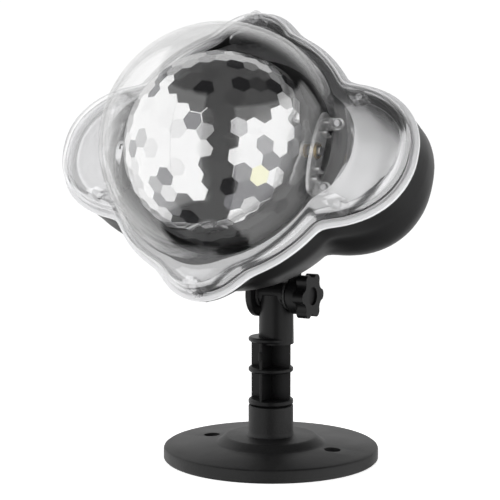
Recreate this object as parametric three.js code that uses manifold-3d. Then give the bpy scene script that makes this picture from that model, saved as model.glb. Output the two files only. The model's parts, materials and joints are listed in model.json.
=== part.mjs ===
// Snowfall light projector on a plug-in stake foot.
// World frame: millimetres, +Z up, origin at the centre of the foot's underside,
// the lamp looks towards -Y, and the tilt hinge runs along X.
// Lamp frame: x to the lamp's left-right, u up the lamp, n out of its face.
// n = 0 is the plane through the centre of the mirror ball.
import * as THREE from 'three';
import { mergeVertices } from 'three/addons/utils/BufferGeometryUtils.js';
import Module from 'manifold-3d';

const wasm = await Module();
wasm.setup();

// ---- driving dimensions (millimetres, degrees) ----
const GAP = 0.3; // clearance between touching pieces
const REST_TILT = 25.5; // how far the lamp leans back

const FOOT_RADIUS = 55;
const FOOT_RIM = 6.9;
const COLLAR_RADIUS = 11.5;
const COLLAR_TOP = 27.4;
const SOCKET_RADIUS = 9.8;
const SOCKET_FLOOR = 7;
const FOOT_HOLE_AT = 35;
const FOOT_HOLE_RADIUS = 2.6;
const FOOT_HOLE_SINK = 4.3;

const SPIGOT_RADIUS = 11.5;
const FIN_THICKNESS = 1.4;
const NECK_X = 3.05; // the neck stands a little off the spigot's axis
const NECK_RADIUS = 8.6;
const NECK_BOTTOM = 59.3;
const HINGE_HEIGHT = 84.6;

const FACE_FORWARD = 77.3; // lamp centre in front of the hinge axis
const FACE_UP = 45.4; // lamp centre above the hinge axis

const BALL_RADIUS = 46.5;
const BALL_X = -2.5; // the ball's centre, a little towards the motor
const BALL_WALL = 1.6;
const DOME_RADIUS = 57.8;
const DOME_WALL = 1.6;
const DOME_CENTRE = 5;

const BODY_RADIUS = 65.5; // round middle of the lamp's outline
const SIDE_LOBE = { at: 50, length: 45.2, width: 35.8, power: 2.2 };
const END_LOBE = { at: 47.8, radius: 26.4 };
const OUTLINE_STEPS = 48;
const CORNER_SHARPNESS = 34; // larger means tighter corners between the lobes

const RIM_BACK = -7; // front edge of the rear housing
const SCREW_PLACES = [
  [-63.7, 26.1], [63.7, 26.1], [-63.7, -26.1], [63.7, -26.1], [0, 69.3], [0, -69.3],
];
const POST_RADIUS = 4;
const screwSeat = ([x]) => (x === 0 ? -11.5 : -20); // where a screw's head rests

const MOTOR_BRACKET_AT = -55.6; // outer face of the motor's bracket
const IDLER_BRACKET_AT = 45.8; // inner face of the idler's bracket
const BRACKET_WALL = 1.8;
const MOTOR_FACE = MOTOR_BRACKET_AT - GAP;
const MOTOR_DEPTH = 6;
const MOTOR_RADIUS = 11.5;
const MOTOR_OFFSET = 9.5; // the output shaft stands off the motor's centre
const SHAFT_RADIUS = 2;
const GLAND_UP = -9;

const BOLT_RADIUS = 2.5;
const BOLT_HOLE = 2.8;
const TONGUE_HALF = 6.6; // half the width of the neck where the ears clamp it
const CROWN_RADIUS = 7.4; // rounding of the neck's top about the hinge
const EAR_INSIDE = 8.4;
const LEFT_EAR_OUTSIDE = 11.6;
const RIGHT_EAR_OUTSIDE = 10.2;
const LEFT_EAR_RADIUS = 12;
const RIGHT_EAR_RADIUS = 7.6;
const KNOB_RADIUS = 12;
const KNOB_LOBES = 6;

// ---- materials ----
const finish = (color, roughness, metalness, opacity = 1) =>
  new THREE.MeshStandardMaterial({ color, roughness, metalness, opacity, transparent: opacity < 1 });
const blackPlastic = finish(0x1c1c1e, 0.55, 0);
const innerPlastic = finish(0x232325, 0.4, 0);
const clearPlastic = finish(0xf2f5f7, 0.05, 0, 0.25);
const silverCoat = finish(0xc4c6c8, 0.3, 0.9);
const mirrorFacet = finish(0xdfe3e6, 0.06, 0.4, 0.6);
const steel = finish(0xb8bbbf, 0.3, 1);
const brass = finish(0xb9984f, 0.35, 1);
const aluminium = finish(0xaeb2b6, 0.4, 1);
const rubber = finish(0x2a2a2a, 0.8, 0);
const boardGreen = finish(0x1f5a38, 0.5, 0);
const phosphor = finish(0xe6d36a, 0.5, 0);

// ---- solids ----
// Closes a geometry: shared corners are merged, slivers dropped, faces turned outwards.
function closed(geometry) {
  const bare = geometry.clone();
  for (const name of Object.keys(bare.attributes)) {
    if (name !== 'position') bare.deleteAttribute(name);
  }
  const merged = mergeVertices(bare, 1e-4);
  const at = merged.attributes.position;
  const corner = (i) => new THREE.Vector3().fromBufferAttribute(at, i);
  const faces = [];
  let volume = 0;
  for (let i = 0; i < merged.index.count; i += 3) {
    const [a, b, c] = [0, 1, 2].map((k) => merged.index.getX(i + k));
    if (a === b || b === c || c === a) continue;
    faces.push([a, b, c]);
    volume += corner(a).dot(corner(b).cross(corner(c)));
  }
  merged.setIndex(faces.flatMap((face) => (volume < 0 ? face.reverse() : face)));
  return merged;
}

const toManifold = (geometry) => {
  const whole = closed(geometry);
  return new wasm.Manifold(new wasm.Mesh({
    numProp: 3,
    vertProperties: new Float32Array(whole.attributes.position.array),
    triVerts: new Uint32Array(whole.index.array),
  }));
};

function toGeometry(manifold) {
  const mesh = manifold.getMesh();
  const geometry = new THREE.BufferGeometry();
  geometry.setAttribute('position', new THREE.BufferAttribute(mesh.vertProperties, 3));
  geometry.setIndex(new THREE.BufferAttribute(mesh.triVerts, 1));
  return geometry;
}

// Joins the first list of geometries, then cuts the second list away.
function carve(joined, cut = []) {
  let solid = toManifold(joined[0]);
  for (const geometry of joined.slice(1)) solid = solid.add(toManifold(geometry));
  for (const geometry of cut) solid = solid.subtract(toManifold(geometry));
  return toGeometry(solid);
}

// The part of a geometry that lies within another.
const within = (geometry, bounds) =>
  toGeometry(toManifold(geometry).intersect(toManifold(bounds)));

// ---- geometry helpers ----
const points2 = (pairs) => pairs.map(([a, b]) => new THREE.Vector2(a, b));

const prism = (outline, depth) =>
  new THREE.ExtrudeGeometry(new THREE.Shape(points2(outline)), { depth, bevelEnabled: false });

// Turned about the world's vertical axis: profile of [radius, height].
const turned = (profile, steps = 32) =>
  new THREE.LatheGeometry(points2(profile), steps).rotateX(Math.PI / 2);

// Turned about the lamp's n axis: profile of [radius, n].
const turnedFace = (profile, steps = 36) =>
  new THREE.LatheGeometry(points2(profile), steps).rotateX(Math.PI);

// Turned about the lamp's x axis: profile of [radius, x].
const turnedAcross = (profile, steps = 24) =>
  new THREE.LatheGeometry(points2(profile), steps).rotateZ(-Math.PI / 2);

const rod = (radius, low, high) => [[0, low], [radius, low], [radius, high], [0, high]];
const ring = (inner, outer, low, high) =>
  [[inner, low], [outer, low], [outer, high], [inner, high], [inner, low]];

// Places a geometry at lamp coordinates x, u, n.
const inLamp = (geometry, x, u, n) => geometry.translate(x, -n, u);

// A box given by its lowest and highest corner in lamp coordinates.
function lampBox([x0, u0, n0], [x1, u1, n1]) {
  const box = new THREE.BoxGeometry(x1 - x0, n1 - n0, u1 - u0);
  return inLamp(box, (x0 + x1) / 2, (u0 + u1) / 2, (n0 + n1) / 2);
}

// An outline in x and u, extruded from n = low to n = high.
const lampPrism = (outline, low, high) =>
  inLamp(prism(outline, high - low).rotateX(Math.PI / 2), 0, 0, low);

// An outline in u and n, extruded from x = low to x = high.
const sidePrism = (outline, low, high) =>
  prism(outline.map(([u, n]) => [-n, u]), high - low)
    .applyMatrix4(new THREE.Matrix4().set(0, 0, 1, low, 1, 0, 0, 0, 0, 1, 0, 0, 0, 0, 0, 1));

const arc = (cx, cy, radius, from, to, steps) =>
  Array.from({ length: steps + 1 }, (_, i) => {
    const angle = THREE.MathUtils.degToRad(from + ((to - from) * i) / steps);
    return [cx + radius * Math.cos(angle), cy + radius * Math.sin(angle)];
  });

// ---- the lamp's cross-shaped outline ----
// Distance from the centre to a side lobe's edge, looking along an angle.
// The inset is one number, or [along the lobe, across the lobe].
function sideReach(angle, inset) {
  const [c, s] = [Math.abs(Math.cos(angle)), Math.abs(Math.sin(angle))];
  const [along, across] = Array.isArray(inset) ? inset : [inset, inset];
  const length = SIDE_LOBE.length - along;
  const width = SIDE_LOBE.width - across;
  if (length <= 1 || width <= 1) return 0;
  const outside = (r) =>
    Math.abs((r * c - SIDE_LOBE.at) / length) ** SIDE_LOBE.power
      + Math.abs((r * s) / width) ** SIDE_LOBE.power > 1;
  for (let r = SIDE_LOBE.at + length; r > 40; r -= 0.05) {
    if (!outside(r)) return r;
  }
  return 0;
}

// Distance from the centre to the top or bottom lobe's edge.
function endReach(angle, inset) {
  const radius = END_LOBE.radius - inset;
  const aside = END_LOBE.at * Math.cos(angle);
  if (radius <= Math.abs(aside)) return 0;
  return END_LOBE.at * Math.abs(Math.sin(angle)) + Math.sqrt(radius ** 2 - aside ** 2);
}

const GONE = 99; // an inset that makes a lobe vanish

// Edge of the lamp at an angle: the round body and the lobes, blended where they meet.
function reach(angle, body, side, end) {
  const k = CORNER_SHARPNESS;
  const parts = [body, sideReach(angle, side), endReach(angle, end)];
  return Math.max(...parts) * parts
    .reduce((sum, part) => sum + (part / Math.max(...parts)) ** k, 0) ** (1 / k);
}

const angles = Array.from({ length: OUTLINE_STEPS }, (_, i) => (i / OUTLINE_STEPS) * 2 * Math.PI);
const outlineAt = (body, side, end) =>
  angles.map((a) => {
    const r = reach(a, body, side, end);
    return [r * Math.cos(a), r * Math.sin(a)];
  });

// A body skinned over outlines of [x, u] points, each with its n.
// A single number in the list is a point on the lamp's axis. The list closes on itself.
function skin(levels) {
  const corners = [];
  const starts = levels.map((level) => {
    const start = corners.length;
    if (typeof level === 'number') corners.push([0, -level, 0]);
    else for (const [x, u] of level.outline) corners.push([x, -level.n, u]);
    return start;
  });
  const steps = levels.find((level) => typeof level !== 'number').outline.length;
  const faces = [];
  const pick = (k, i) => starts[k] + (typeof levels[k] === 'number' ? 0 : i % steps);
  levels.forEach((_, k) => {
    const next = (k + 1) % levels.length;
    for (let i = 0; i < steps; i += 1) {
      faces.push(pick(k, i), pick(k, i + 1), pick(next, i + 1));
      faces.push(pick(k, i), pick(next, i + 1), pick(next, i));
    }
  });
  const geometry = new THREE.BufferGeometry();
  geometry.setAttribute('position', new THREE.Float32BufferAttribute(corners.flat(), 3));
  geometry.setIndex(faces);
  return closed(geometry);
}

// The same over the lamp's own outlines, each [body radius, side inset, end inset, n].
const skinned = (levels) => skin(levels.map((level) =>
  typeof level === 'number' ? level : { outline: outlineAt(...level.slice(0, 3)), n: level[3] }));

// A wedge of a quarter turn about the lamp's axis, standing half a gap off its neighbours.
function quarterTurn(middle, low, high) {
  const tip = arc(0, 0, GAP / Math.SQRT2, middle, middle, 1)[0];
  const corners = arc(...tip, 200, middle - 45, middle + 45, 1);
  return lampPrism([tip, ...corners], low, high);
}

// ---- the groups that the pieces hang in ----
const projector = new THREE.Group();
const head = new THREE.Group();
head.position.set(NECK_X, 0, HINGE_HEIGHT);
head.rotation.x = -THREE.MathUtils.degToRad(REST_TILT);
const lamp = new THREE.Group();
lamp.position.set(0, -FACE_FORWARD, FACE_UP);
head.add(lamp);
projector.add(head);

function piece(parent, name, geometry, material) {
  const mesh = new THREE.Mesh(geometry, material);
  mesh.name = name;
  parent.add(mesh);
}

// ---- foot ----
function footDisc() {
  const body = turned([
    [0, 0], [FOOT_RADIUS - 0.8, 0], [FOOT_RADIUS, 0.8], [FOOT_RADIUS, FOOT_RIM - 1.2],
    [FOOT_RADIUS - 1.2, FOOT_RIM], [28, FOOT_RIM + 1.1], [27, FOOT_RIM + 1.6], [23.5, 11.2],
    [22.6, 11.5], [COLLAR_RADIUS + 1.4, 11.5], [COLLAR_RADIUS + 0.3, 12.6],
    [COLLAR_RADIUS, COLLAR_TOP - 0.6], [COLLAR_RADIUS - 0.6, COLLAR_TOP], [0, COLLAR_TOP],
  ], 44);
  const socket = turned(rod(SOCKET_RADIUS, SOCKET_FLOOR, COLLAR_TOP + 1), 20);
  const holes = [-1, 1].map((side) => turned([
    [0, -1], [FOOT_HOLE_RADIUS, -1], [FOOT_HOLE_RADIUS, 4.2], [FOOT_HOLE_SINK, 6],
    [FOOT_HOLE_SINK, 9], [0, 9],
  ], 16).translate(side * FOOT_HOLE_AT, 0, 0));
  return carve([body], [socket, ...holes]);
}
piece(projector, 'foot_disc', footDisc(), blackPlastic);

// ---- mast: plug, ribbed spigot and neck in one moulding ----
function mastPost() {
  const finHeight = NECK_BOTTOM + 2 - 28;
  const fins = [0, Math.PI / 2].map((turn) =>
    new THREE.BoxGeometry(2 * SPIGOT_RADIUS, FIN_THICKNESS, finHeight)
      .rotateZ(turn).translate(0, 0, 28 + finHeight / 2));
  const disc = (low, high) => turned([
    [0, low], [SPIGOT_RADIUS - 0.7, low], [SPIGOT_RADIUS, low + 0.7], [SPIGOT_RADIUS, high - 0.7],
    [SPIGOT_RADIUS - 0.7, high], [0, high],
  ], 28);
  const plug = turned([
    [0, SOCKET_FLOOR + GAP], [8.2, SOCKET_FLOOR + GAP], [9.4, 9], [9.4, 29], [0, 29],
  ], 24);
  const neck = turned([
    [0, NECK_BOTTOM], [NECK_RADIUS + 0.4, NECK_BOTTOM], [NECK_RADIUS, HINGE_HEIGHT], [0, HINGE_HEIGHT],
  ], 28).translate(NECK_X, 0, 0);
  const crown = turnedAcross(rod(CROWN_RADIUS, -TONGUE_HALF, TONGUE_HALF), 28)
    .translate(NECK_X, 0, HINGE_HEIGHT);
  const spotFace = (radius, side) =>
    turnedAcross(rod(radius + 0.5, 0, 12), 28)
      .translate(side > 0 ? TONGUE_HALF : -TONGUE_HALF - 12, 0, 0)
      .translate(NECK_X, 0, HINGE_HEIGHT);
  const bore = turnedAcross(rod(BOLT_HOLE, -20, 20), 16).translate(NECK_X, 0, HINGE_HEIGHT);
  const catchBump = new THREE.BoxGeometry(1.4, 1.6, 4.4).translate(0, -SPIGOT_RADIUS, 53.6);
  return carve(
    [plug, disc(COLLAR_TOP + GAP, 30.8), disc(44.6, 47.2), disc(60.2, 62.7), neck, crown, catchBump, ...fins],
    [spotFace(LEFT_EAR_RADIUS, -1), spotFace(RIGHT_EAR_RADIUS, 1), bore],
  );
}
piece(projector, 'mast_post', mastPost(), blackPlastic);

// ---- rear housing ----
// The wall's outer and inner levels: [body radius, side inset, end inset, n].
const housingOutside = [
  [64.7, 0.8, 0.8, RIM_BACK], [64.7, 0.8, 3.4, -11.5], [64.5, 0.8, 9, -16], [63.4, [1, 0.8], 19, -21],
  [60.4, [2.2, -0.4], GONE, -30], [56.6, [5, -0.6], GONE, -38], [52.4, [9.4, 2.4], GONE, -45.4],
  [49, [15, 7.4], GONE, -50.6], [46.2, [22, 14], GONE, -54], [44.4, GONE, GONE, -56],
  [39.2, GONE, GONE, -61.4], [32.6, GONE, GONE, -66.6], [26, GONE, GONE, -70.4],
  [20, GONE, GONE, -72.5], -72.5,
];
const housingInside = [
  -70.3, [19.2, GONE, GONE, -70.3], [24, GONE, GONE, -68.7], [30.2, GONE, GONE, -65],
  [36.8, GONE, GONE, -59.8], [42.4, GONE, GONE, -54], [44.4, [22.4, 15], GONE, -51.4],
  [47.2, [16.8, 9.4], GONE, -48.2], [50.6, [11.6, 4.8], GONE, -43.8], [54.6, [7.4, 2], GONE, -37],
  [58.4, [4.6, 1.8], GONE, -29], [61, [3.2, 2.6], 20, -20], [62.2, 3, 9, -14], [62.4, 3, 3, RIM_BACK],
];

// The housing's outside as a filled body, standing off by a clearance.
function housingFilled(clearance) {
  const grown = (inset) =>
    (Array.isArray(inset) ? inset.map((value) => value - clearance) : inset - clearance);
  const levels = housingOutside.map((level) => (typeof level === 'number' ? level - clearance
    : [level[0] + clearance, grown(level[1]), grown(level[2]), level[3] - clearance]));
  return skinned([...levels, RIM_BACK]);
}

// A hinge ear: a round end on the hinge axis, running up to the housing's back.
function hingeEar(radius, reachForward, low, high) {
  const hinge = [-FACE_UP, -FACE_FORWARD];
  const root = reachForward
    ? [[-12, -71.4], [-24, -69.8], [-31, -65.6], [-37.4, -60.2], [-42.4, -54.6]]
    : [[-9, -71.4], [-15, -71.4], [-21.5, -70.6]];
  const end = arc(...hinge, radius, reachForward ? 105 : 60, 300, 16);
  return sidePrism([...root, ...end], low, high);
}

const hingeBore = inLamp(turnedAcross(rod(BOLT_HOLE, -20, 20), 16), 0, -FACE_UP, -FACE_FORWARD);

function rearHousing() {
  const shell = skinned([...housingOutside, ...housingInside]);
  const posts = SCREW_PLACES.map((at) =>
    inLamp(turnedFace(rod(POST_RADIUS, at[0] === 0 ? -14.5 : -44, RIM_BACK - GAP), 14), ...at, 0));
  const bores = SCREW_PLACES.flatMap((at) => [
    inLamp(turnedFace(rod(1.8, -60, 0), 10), ...at, 0),
    inLamp(turnedFace(rod(3.1, -60, screwSeat(at)), 12), ...at, 0),
  ]);
  const glandHole = inLamp(turnedFace(rod(4.4, -80, -60), 16), 0, GLAND_UP, 0);
  return carve([shell, ...posts], [...bores, glandHole]);
}

// The one black moulding is kept as five simpler solids: its rounded back, and a
// quarter of the wall round each lobe.
const HOUSING_SPLIT = -46;
const housing = rearHousing();
const housingRear = lampBox([-99, -99, -99], [99, 99, HOUSING_SPLIT - GAP]);
piece(lamp, 'housing_back', within(housing, housingRear), blackPlastic);
piece(lamp, 'housing_left', within(housing, quarterTurn(180, HOUSING_SPLIT, 0)), blackPlastic);
piece(lamp, 'housing_right', within(housing, quarterTurn(0, HOUSING_SPLIT, 0)), blackPlastic);
piece(lamp, 'housing_top', within(housing, quarterTurn(90, HOUSING_SPLIT, 0)), blackPlastic);
piece(lamp, 'housing_bottom', within(housing, quarterTurn(270, HOUSING_SPLIT, 0)), blackPlastic);

const ears = {
  hinge_ear_left: hingeEar(LEFT_EAR_RADIUS, true, -LEFT_EAR_OUTSIDE, -EAR_INSIDE),
  hinge_ear_right: hingeEar(RIGHT_EAR_RADIUS, false, EAR_INSIDE, RIGHT_EAR_OUTSIDE),
};
for (const [name, ear] of Object.entries(ears)) {
  piece(lamp, name, carve([ear], [housingFilled(GAP), hingeBore]), blackPlastic);
}

// ---- clear front cover: flange, raised lobes, shoulder and dome ----
const onDome = (radius, degrees) => {
  const angle = THREE.MathUtils.degToRad(degrees);
  return [radius * Math.cos(angle), GONE, GONE, DOME_CENTRE + radius * Math.sin(angle)];
};
const coverOutside = [
  [BODY_RADIUS, 0, 0, -5], [BODY_RADIUS, 0, 0, -3.4], [63.8, 1.9, 1.9, -3.2], [63.8, 2.2, 2.2, 1],
  [62.9, 4.2, 4.2, 4.6], [60.8, 8.5, 8.5, 6.6], [58.2, GONE, GONE, 7.6],
  ...[6, 20, 38, 56, 74].map((degrees) => onDome(DOME_RADIUS, degrees)),
  DOME_CENTRE + DOME_RADIUS,
];
const coverInside = [
  DOME_CENTRE + DOME_RADIUS - DOME_WALL,
  ...[74, 56, 38, 20, 5].map((degrees) => onDome(DOME_RADIUS - DOME_WALL, degrees)),
  [57.4, GONE, GONE, 5.8], [59.8, 9.4, 9.4, 5], [61.4, 5.9, 5.9, 3.4], [62.2, 3.9, 3.9, 0],
  [62.2, 3.7, 3.7, -5],
];

function frontCover() {
  const shell = skinned([...coverOutside, ...coverInside]);
  const bosses = SCREW_PLACES.map((at) =>
    inLamp(turnedFace(rod(3.4, -4.8, at[0] === 0 ? 3 : 5), 14), ...at, 0));
  const bores = SCREW_PLACES.map((at) => inLamp(turnedFace(rod(1.7, -8, 2.4), 10), ...at, 0));
  return carve([shell, ...bosses], bores);
}
// The one clear moulding is kept as five simpler solids: its dome, cut off level
// with the shoulder, and a quarter of the rim round each lobe.
const COVER_SPLIT = 8;
const cover = frontCover();
const coverFront = lampBox([-99, -99, COVER_SPLIT + GAP], [99, 99, 99]);
piece(lamp, 'cover_dome', within(cover, coverFront), clearPlastic);
piece(lamp, 'cover_lobe_left', within(cover, quarterTurn(180, -20, COVER_SPLIT)), clearPlastic);
piece(lamp, 'cover_lobe_right', within(cover, quarterTurn(0, -20, COVER_SPLIT)), clearPlastic);
piece(lamp, 'cover_lobe_top', within(cover, quarterTurn(90, -20, COVER_SPLIT)), clearPlastic);
piece(lamp, 'cover_lobe_bottom', within(cover, quarterTurn(270, -20, COVER_SPLIT)), clearPlastic);

const gasket = skinned([
  [65, 0.5, 0.5, RIM_BACK + GAP], [65, 0.5, 0.5, -5 - GAP], [62.6, 2.9, 2.9, -5 - GAP],
  [62.6, 2.9, 2.9, RIM_BACK + GAP],
]);
const gasketHoles = SCREW_PLACES.map((at) => inLamp(turnedFace(rod(3.7, -9, 0), 12), ...at, 0));
piece(lamp, 'cover_gasket', carve([gasket], gasketHoles), rubber);

// ---- silver panels under the lobes ----
const PANEL_TOP = 3.6;
const PANEL_PLATE = 1.2;
const PANEL_FOOT = -4.6;

// The part of the outline beyond an inner radius, on one side of the lamp.
function lobeOutline(inner, inset, middle, halfAngle) {
  const steps = 18;
  const span = THREE.MathUtils.degToRad(halfAngle);
  const outer = [];
  const back = [];
  for (let i = 0; i <= steps; i += 1) {
    const angle = middle - span + (2 * span * i) / steps;
    const r = reach(angle, inner + 0.4, inset, inset);
    outer.push([r * Math.cos(angle), r * Math.sin(angle)]);
    back.unshift([inner * Math.cos(angle), inner * Math.sin(angle)]);
  }
  return [...outer, ...back];
}

function lobePanel(middle, halfAngle, inset) {
  const top = lampPrism(lobeOutline(60, inset, middle, halfAngle), PANEL_FOOT, PANEL_TOP);
  const hollow = lampPrism(
    lobeOutline(50, inset + 1.2, middle, halfAngle + 8), PANEL_FOOT - 1, PANEL_TOP - PANEL_PLATE,
  );
  const clearances = SCREW_PLACES.map((at) => inLamp(turnedFace(rod(4.1, -9, 9), 14), ...at, 0));
  return carve([top], [hollow, ...clearances]);
}
piece(lamp, 'side_panel_right', lobePanel(0, 24, 7.2), silverCoat);
piece(lamp, 'side_panel_left', lobePanel(Math.PI, 24, 7.2), silverCoat);
piece(lamp, 'end_panel_top', lobePanel(Math.PI / 2, 14, 7.4), silverCoat);
piece(lamp, 'end_panel_bottom', lobePanel(-Math.PI / 2, 14, 7.4), silverCoat);

// ---- inner tray: the dark bowl behind the ball ----
const BOWL_RADIUS = 51;
const BOWL_WALL = 1.4;
const TRAY_FACE = -7;
const WINDOW = [22, 34]; // half width and half height of the light's opening
const bowlAt = (radius, n) => [Math.sqrt(radius ** 2 - n ** 2), n];
function roundedBox(halfWidth, halfHeight, corner, steps = 4) {
  const centres = [[1, 1], [-1, 1], [-1, -1], [1, -1]];
  return centres.flatMap(([sx, sy], quarter) => arc(
    sx * (halfWidth - corner), sy * (halfHeight - corner), corner,
    quarter * 90, quarter * 90 + 90, steps,
  ));
}
function innerTray() {
  const inside = [TRAY_FACE, -16, -25, -33.5, -41, -46.6].map((n) => bowlAt(BOWL_RADIUS, n));
  const outside = [-47.6, -42, -34.4, -25.6, -16.4, TRAY_FACE - 1.6]
    .map((n) => bowlAt(BOWL_RADIUS + BOWL_WALL, n));
  const bowl = turnedFace([
    [61.6, TRAY_FACE - 1.6], [61.6, TRAY_FACE], ...inside, ...outside, [61.6, TRAY_FACE - 1.6],
  ], 36);
  const motorRoom = lampBox([-64, -13, -12], [MOTOR_FACE + GAP, 13, 0]);
  const window = lampPrism(roundedBox(...WINDOW, 6), -60, -20);
  return carve([bowl], [motorRoom, window]);
}
piece(lamp, 'inner_tray', innerTray(), innerPlastic);

// ---- mirror ball, turning about the lamp's x axis ----
const POLE_HOLE = 2.3;
const HUB_RADIUS = 6;
const HUB_STEP = 1;
const BALL_BANDS = 6;
const ball = new THREE.Group();
ball.position.set(BALL_X, 0, 0);
lamp.add(ball);

// One half shell of the ball, on the side of +x or -x, with its hub at the pole.
function ballHalf(side) {
  const start = Math.acos(HUB_RADIUS / BALL_RADIUS);
  const band = (radius, i) => {
    const angle = (start * i) / BALL_BANDS;
    return [radius * Math.cos(angle), Math.max(radius * Math.sin(angle), GAP / 2)];
  };
  const bands = Array.from({ length: BALL_BANDS + 1 }, (_, i) => i);
  const pole = BALL_RADIUS * Math.sin(start);
  const profile = [
    ...bands.map((i) => band(BALL_RADIUS, i)),
    [HUB_RADIUS, pole + HUB_STEP], [POLE_HOLE, pole + HUB_STEP], [POLE_HOLE, pole - 4],
    [HUB_RADIUS - 1, pole - 4],
    ...bands.reverse().map((i) => band(BALL_RADIUS - BALL_WALL, i)),
    band(BALL_RADIUS, 0),
  ];
  const half = turnedAcross(profile, 24);
  return closed(side > 0 ? half : half.rotateZ(Math.PI));
}
piece(ball, 'ball_half_right', ballHalf(1), mirrorFacet);
piece(ball, 'ball_half_left', ballHalf(-1), mirrorFacet);

const driveShaft = turnedAcross(rod(SHAFT_RADIUS, MOTOR_FACE - 3, BALL_X - BALL_RADIUS + 5), 14);
piece(lamp, 'drive_shaft', closed(driveShaft), steel);
const idlerPin = turnedAcross(
  rod(SHAFT_RADIUS, BALL_X + BALL_RADIUS - 5, IDLER_BRACKET_AT + BRACKET_WALL + 2), 14,
);
piece(lamp, 'idler_pin', closed(idlerPin), steel);

function gearMotor() {
  const back = MOTOR_FACE - MOTOR_DEPTH;
  const can = inLamp(turnedAcross([
    [0, back], [MOTOR_RADIUS - 0.6, back], [MOTOR_RADIUS, back + 0.6], [MOTOR_RADIUS, MOTOR_FACE],
    [0, MOTOR_FACE],
  ], 24), 0, 0, -MOTOR_OFFSET);
  const shaftRoom = turnedAcross(rod(SHAFT_RADIUS + GAP, MOTOR_FACE - 4, MOTOR_FACE + 1), 14);
  return carve([can], [shaftRoom]);
}
piece(lamp, 'gear_motor', gearMotor(), steel);

// A bracket plate beside the ball: low and high are its faces along x, half is its
// half-height along u, and its two feet reach along x to footEnd.
const FOOT_LEVEL = TRAY_FACE + GAP;
const FOOT_THICKNESS = 1.6;
const TAB_SCREWS = 16;
function ballBracket({ low, high, half, footEnd, footScrew, holeRadius, slotHalf }) {
  const plate = sidePrism([
    [-half, FOOT_LEVEL], [half, FOOT_LEVEL], [half, -1.5], [half * 0.8, 2.4], [half * 0.45, 4.4],
    [-half * 0.45, 4.4], [-half * 0.8, 2.4], [-half, -1.5],
  ], low, high);
  const inside = (low + high) / 2;
  const feet = [-1, 1].map((end) => lampBox(
    [Math.min(inside, footEnd), end * TAB_SCREWS - 2.8, FOOT_LEVEL],
    [Math.max(inside, footEnd), end * TAB_SCREWS + 2.8, FOOT_LEVEL + FOOT_THICKNESS],
  ));
  const holes = [-1, 1].map((end) =>
    inLamp(turnedFace(rod(1.3, -12, 0), 10), footScrew, end * TAB_SCREWS, 0));
  const bore = turnedAcross(rod(holeRadius, low - 1, high + 1), 16);
  const slots = slotHalf > 0 ? [-1, 1].map((end) => lampBox(
    [low - 1, end * 9 - slotHalf, -4.4], [high + 1, end * 9 + slotHalf, 1.2],
  )) : [];
  return carve([plate, ...feet], [bore, ...holes, ...slots]);
}
const BUSH_OUTSIDE = 3.6;
const MOTOR_FOOT_SCREW = -51.4;
const IDLER_FOOT_SCREW = 52.2;
piece(lamp, 'motor_bracket', ballBracket({
  low: MOTOR_BRACKET_AT, high: MOTOR_BRACKET_AT + BRACKET_WALL, half: 19.5,
  footEnd: -49.2, footScrew: MOTOR_FOOT_SCREW, holeRadius: SHAFT_RADIUS + GAP, slotHalf: 3,
}), innerPlastic);
piece(lamp, 'idler_bracket', ballBracket({
  low: IDLER_BRACKET_AT, high: IDLER_BRACKET_AT + BRACKET_WALL, half: 20,
  footEnd: 55, footScrew: IDLER_FOOT_SCREW, holeRadius: BUSH_OUTSIDE + GAP, slotHalf: 0,
}), clearPlastic);
const bush = turnedAcross(ring(
  SHAFT_RADIUS + GAP, BUSH_OUTSIDE, IDLER_BRACKET_AT - 0.6, IDLER_BRACKET_AT + BRACKET_WALL + 0.6,
), 16);
piece(lamp, 'idler_bush', closed(bush), brass);

// ---- light engine behind the ball ----
function reflectorTub() {
  const level = (halfWidth, halfHeight, corner, n) =>
    ({ outline: roundedBox(halfWidth, halfHeight, corner), n });
  return skin([
    level(22, 34, 6, -49.2), level(12, 15, 4, -56.4), level(11, 14, 3.5, -56.4),
    level(11, 14, 3.5, -55.4), level(21, 33, 5.5, -48.2), level(22, 34, 6, -48.2),
  ]);
}
piece(lamp, 'reflector_tub', reflectorTub(), silverCoat);
piece(lamp, 'led_lens', closed(turnedFace([
  [0, -55], [6.5, -55], [6.5, -53.6], [5.6, -51.8], [3.2, -50.5], [0, -50],
], 18)), clearPlastic);
piece(lamp, 'led_emitter', closed(lampBox([-2.6, -2.6, -57.6], [2.6, 2.6, -55.9])), phosphor);
const boardHoles = [-1, 1].map((side) => inLamp(turnedFace(rod(1.5, -66, -50), 10), side * 7, 0, 0));
const ledBoard = turnedFace(rod(10, -59.5, -57.9), 20);
piece(lamp, 'led_board', carve([ledBoard], boardHoles), aluminium);

function heatSink() {
  const base = turnedFace(rod(18, -62.2, -59.8), 28);
  const fins = [-2, -1, 0, 1, 2].map((i) => {
    const half = Math.sqrt(17 ** 2 - (i * 6) ** 2) - 0.6;
    return lampBox([i * 6 - 0.8, -half, -65.6], [i * 6 + 0.8, half, -62]);
  });
  const taps = [-1, 1].map((side) => inLamp(turnedFace(rod(1.3, -70, -50), 10), side * 7, 0, 0));
  return carve([base, ...fins], taps);
}
piece(lamp, 'heat_sink', heatSink(), aluminium);

// ---- driver electronics in the right-hand lobe ----
piece(lamp, 'driver_board', closed(lampBox([63, -16, -25.6], [83, 16, -24])), boardGreen);
piece(lamp, 'driver_transformer', closed(lampBox([66, -14, -23.7], [80, -2, -13])), rubber);
piece(lamp, 'driver_capacitor', closed(
  inLamp(turnedFace(rod(4.5, -23.7, -11), 16), 73, 9, 0),
), aluminium);

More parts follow.
